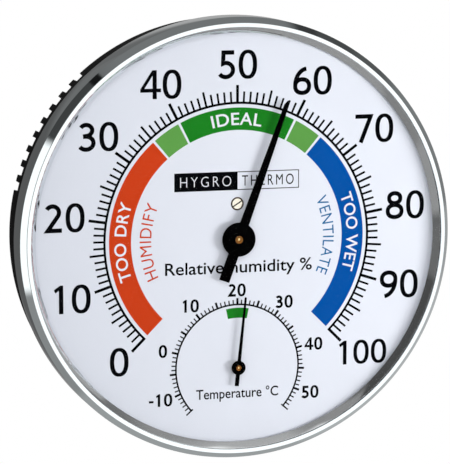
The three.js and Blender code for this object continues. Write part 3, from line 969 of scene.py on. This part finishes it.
def pointer_bush(node, bore, radius, flange, centre):
    """A flanged brass bush pressed up against the pointer's rear, with a countersunk front."""
    pointer = node.replace("_bush", "")
    rear, front = rear_of(node), front_of(node)
    seat = rear_of(pointer) - 0.05 * MM
    section = [
        (bore, rear),
        (flange, rear, 0.05 * MM),
        (flange, seat, 0.05 * MM),
        (radius, seat),
        (radius, front - 0.06 * MM),
        (radius - 0.06 * MM, front),
        (bore + 0.17 * MM, front, 0.03 * MM),
        (bore, front - 0.32 * MM),
    ]
    piece(f"{node}_turned", turned(rounded(section), 64, centre), BRASS, pointer, [node])


def spindle(node, body, radius, pivot, centre):
    """A shaft with a thin rear pivot and a domed front end."""
    rear, front = rear_of(node), front_of(node)
    shoulder = 13.1 * MM
    rise = 0.8 * radius
    section = [(0, rear), (pivot, rear, 0.08 * MM), (pivot, shoulder), (radius, shoulder)]
    for k in range(9):
        turn = math.pi / 2 * k / 8
        section.append((radius * math.cos(turn), front - rise + rise * math.sin(turn)))
    section[-1] = (0, front)
    piece(f"{node}_turned", turned(rounded(section), 64, centre), POLISHED_BRASS, body, [node])


def front_screw():
    """The slotted cheese-head screw in the dial's clearance hole."""
    rear, front = rear_of("movement_screw"), front_of("movement_screw")
    head, shank, seat = 1.6 * MM, 0.9 * MM, front_of("hygro_front_plate") + 0.02 * MM
    section = [
        (0, rear),
        (shank, rear, 0.2 * MM),
        (shank, seat),
        (head, seat),
        (head, front, 0.1 * MM),
        (0, front + 0.03 * MM),
    ]
    slot_width, slot_turn = 0.36 * MM, 58
    slot = block(slot_width, 6 * MM, (seat + front) / 2, front + MM, angle=slot_turn)
    mesh = shaped(turned(rounded(section, steps=5), sides=96), cuts=[slot], bevel=0.03 * MM, limit=50)
    piece("movement_screw_head", moved(mesh, z=SCREW_Z), NICKEL, "case", ["movement_screw"])


def dial_furniture():
    """The bushes and spindles in the two pointers, and the screw."""
    middle = (0, 0)
    thermo = (0, THERMO_Z)
    pointer_bush("hygro_pointer_bush", bore=0.8 * MM, radius=1.12 * MM, flange=2.0 * MM, centre=middle)
    pointer_bush("thermo_pointer_bush", bore=0.55 * MM, radius=0.8 * MM, flange=1.4 * MM, centre=thermo)
    spindle("hygro_spindle", "hygro_pointer", radius=0.75 * MM, pivot=0.52 * MM, centre=middle)
    spindle("thermo_spindle", "thermo_pointer", radius=0.5 * MM, pivot=0.4 * MM, centre=thermo)
    front_screw()


# ---- CAD nodes that keep their own shape ----

KEPT_FINISHES = {
    # The front plate takes the brass darkened as painted shade, for the dark ring round the screw.
    GAP_SHADE_BRASS: ("hygro_front_plate",),
    BRASS: ("hygro_back_plate", "hygro_pillar_1", "hygro_pillar_2", "hygro_pillar_3",
            "hygro_front_bush", "adjusting_screw", "regulator_arm", "hygro_collet", "thermo_front_bush",
            "thermo_rear_bush", "thermo_collet"),
    STEEL: ("hygro_pillar_screw_1", "hygro_pillar_screw_2", "hygro_pillar_screw_3", "regulator_pin",
            "thermo_bridge", "thermo_bridge_screw_1", "thermo_bridge_screw_2", "thermo_anchor_pin"),
    ALUMINIUM: ("thermo_housing",),
    HUMIDITY_STRIP: ("humidity_coil",),
    BIMETAL_STRIP: ("bimetal_coil",),
}


def kept_nodes():
    """The materials of the CAD nodes that show their own shape."""
    for material, nodes in KEPT_FINISHES.items():
        for node in nodes:
            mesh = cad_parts[node].data
            mesh.materials.clear()
            mesh.materials.append(material)


# ---- Studio ----

AZIMUTH = math.radians(-15.84)
ELEVATION = math.radians(8.46)
DISTANCE = 836.7 * MM
DIAL_RIGHT_OF_AXIS = 3.68 * MM
DIAL_BELOW_AXIS = 2.03 * MM
FOCAL_LENGTH = 218.98  # mm
SENSOR = 36  # mm
FILL = 0.41  # brightness of the soft light from all round


def camera():
    """A long lens, aimed a little to one side of the dial's middle."""
    back = Vector((
        math.sin(AZIMUTH) * math.cos(ELEVATION),
        -math.cos(AZIMUTH) * math.cos(ELEVATION),
        math.sin(ELEVATION),
    ))
    right = Vector((math.cos(AZIMUTH), math.sin(AZIMUTH), 0))
    up = back.cross(right)
    lens = bpy.data.cameras.new("camera")
    lens.lens = FOCAL_LENGTH
    lens.sensor_width = SENSOR
    lens.clip_start = 0.01
    lens.clip_end = 20
    obj = bpy.data.objects.new("camera", lens)
    bpy.context.scene.collection.objects.link(obj)
    dial_centre = Vector((0, -DIAL_FACE, 0))
    place = dial_centre - right * DIAL_RIGHT_OF_AXIS + up * DIAL_BELOW_AXIS + back * DISTANCE
    axes = Matrix((right, up, back)).transposed().to_4x4()
    obj.matrix_world = Matrix.Translation(place) @ axes
    bpy.context.scene.camera = obj


def studio_sky():
    """Soft light from all round, a white room for the camera, and grey walls with cards for the chrome."""
    world = bpy.data.worlds.new("studio")
    bpy.context.scene.world = world
    world.use_nodes = True
    tree = world.node_tree
    tree.nodes.clear()
    output = tree.nodes.new("ShaderNodeOutputWorld")
    path = tree.nodes.new("ShaderNodeLightPath")

    def background(strength, colour=(1, 1, 1)):
        node = tree.nodes.new("ShaderNodeBackground")
        node.inputs["Color"].default_value = (*colour, 1)
        node.inputs["Strength"].default_value = strength
        return node

    seen = background(1.0)
    fill = background(FILL, (0.98, 0.99, 1.0))
    mirrored = background(1.0)
    tree.links.new(card_room(tree), mirrored.inputs["Color"])
    not_camera = tree.nodes.new("ShaderNodeMixShader")
    tree.links.new(path.outputs["Is Glossy Ray"], not_camera.inputs[0])
    tree.links.new(fill.outputs[0], not_camera.inputs[1])
    tree.links.new(mirrored.outputs[0], not_camera.inputs[2])
    total = tree.nodes.new("ShaderNodeMixShader")
    tree.links.new(path.outputs["Is Camera Ray"], total.inputs[0])
    tree.links.new(not_camera.outputs[0], total.inputs[1])
    tree.links.new(seen.outputs[0], total.inputs[2])
    tree.links.new(total.outputs[0], output.inputs["Surface"])


# Cards and flags round the object: brightness, left, right, bottom and top edges in degrees, and softness.
# A bearing is 0 straight out from the dial and grows to its right. Later cards stand in front.
ROOM_GREY = 0.19
CARDS = (
    (0.36, -180, 180, -90, -24, 8),  # table
    (0.12, -180, 180, -15, 40, 8),
    (0.37, 112, 180, -90, -3, 4),  # lower right wall
    (0.47, 112, 137, -50, -16, 5),
    (0.21, 60, 130, -4, 22, 4),
    (0.19, 60, 180, 20, 60, 3),
    (0.10, 95, 128, 24, 55, 8),  # dark panel at the right
    (0.07, 95, 128, 36, 55, 5),
    (0.045, 100, 128, 48, 54, 2),
    (0.10, -180, -125, -40, 40, 14),  # dark room behind, left
    (0.16, -180, -150, 9, 40, 6),
    (0.14, 165, 180, -24, 40, 8),
    (0.40, 148, 172, -21, 12, 8),  # lighter wall behind, right
    (0.32, -50, 10, 49, 78, 2.5),  # ceiling in front
    (0.32, 0, 86, 40, 78, 12),
    (0.50, -8, 64, 52, 78, 24),
    (0.42, 82, 96, 3, 30, 4),  # pale wall past the ring's right edge
    (0.16, -100, -48, 18, 60, 12),
    (0.17, -76, -48, -12, 8, 6),
    (0.055, -100, -70, 29.5, 56.5, 2),  # black flag over the left softbox
    (0.008, -100, -76, 52.5, 56.5, 1),
    (0.08, -76, -40, 7, 49, 3),
    (0.27, -130, -40, -58, -24, 4),  # floor at the left
    (0.36, -72, -48, -38, -14, 5),
    (1.20, -102, -78, -23, 28, 4),  # left softbox
    (1.25, -22, 50, -35, 60, 8),  # front softbox
)


def card_room(tree):
    """Brightness by direction: a grey room with cards."""
    def math_node(operation, a, b=None):
        node = tree.nodes.new("ShaderNodeMath")
        node.operation = operation
        for socket, value in zip(node.inputs, (a, b)):
            if value is None:
                continue
            if isinstance(value, (int, float)):
                socket.default_value = value
            else:
                tree.links.new(value, socket)
        return node.outputs[0]

    def ramp(value, start, end):
        node = tree.nodes.new("ShaderNodeMapRange")
        node.interpolation_type = "SMOOTHSTEP"
        node.inputs["From Min"].default_value = start
        node.inputs["From Max"].default_value = end
        tree.links.new(value, node.inputs["Value"])
        return node.outputs["Result"]

    place = tree.nodes.new("ShaderNodeTexCoord")
    axes = tree.nodes.new("ShaderNodeSeparateXYZ")
    tree.links.new(place.outputs["Generated"], axes.inputs[0])
    forward = math_node("MULTIPLY", axes.outputs["Y"], -1)
    bearing = math_node("DEGREES", math_node("ARCTAN2", axes.outputs["X"], forward))
    rise = math_node("DEGREES", math_node("ARCSINE", axes.outputs["Z"]))
    level = ROOM_GREY
    for brightness, left, right, bottom, top, soft in CARDS:
        share = 1.0
        edges = ((bearing, left, 1), (bearing, right, -1), (rise, bottom, 1), (rise, top, -1))
        for value, edge, sign in edges:
            if abs(edge) in (180, 90) and (value is bearing) == (abs(edge) == 180):
                continue
            blur = sign * soft / 2
            share = math_node("MULTIPLY", share, ramp(value, edge - blur, edge + blur))
        mix = tree.nodes.new("ShaderNodeMix")
        tree.links.new(share, mix.inputs["Factor"])
        if isinstance(level, float):
            mix.inputs["A"].default_value = level
        else:
            tree.links.new(level, mix.inputs["A"])
        mix.inputs["B"].default_value = brightness
        level = mix.outputs["Result"]
    return level


def softbox(name, place, size, power, colour=(1, 1, 1)):
    """A soft lamp aimed at the dial. It isn't seen in the chrome: the cards are."""
    lamp = bpy.data.lights.new(name, "AREA")
    lamp.energy = power
    lamp.color = colour
    lamp.size = size
    obj = bpy.data.objects.new(name, lamp)
    bpy.context.scene.collection.objects.link(obj)
    obj.location = place
    aim = Vector((0, -DIAL_FACE, 0)) - Vector(place)
    obj.rotation_euler = aim.to_track_quat("-Z", "Y").to_euler()
    obj.visible_glossy = False


def floor():
    """A pale floor well below the object. Only soft light meets it: the camera and the chrome don't."""
    low = cad_box[0][2] - 100 * MM
    half = 3.0
    corners = [(-half, -half, low), (half, -half, low), (half, half, low), (-half, half, low)]
    mesh = bpy.data.meshes.new("floor")
    mesh.from_pydata(corners, [], [(0, 1, 2, 3)])
    material, tree, main = shader("pale_floor", (0.95, 0.95, 0.95), 0.9)
    mesh.materials.append(material)
    obj = bpy.data.objects.new("floor", mesh)
    bpy.context.scene.collection.objects.link(obj)
    obj.visible_glossy = False
    obj.visible_camera = False


case_shell()
back_panel()
bezel_ring()
dial_rehaut()
front_lens()
dial_plate()
dial_print()
pointers()
dial_furniture()
kept_nodes()

camera()
studio_sky()
softbox("key", place=(0.71, -0.54, -0.19), size=0.36, power=12.6, colour=(1.0, 0.995, 0.985))
softbox("front", place=(-0.25, -1.10, 0.65), size=0.90, power=5.0)
floor()
bpy.context.scene.view_settings.view_transform = "Standard"
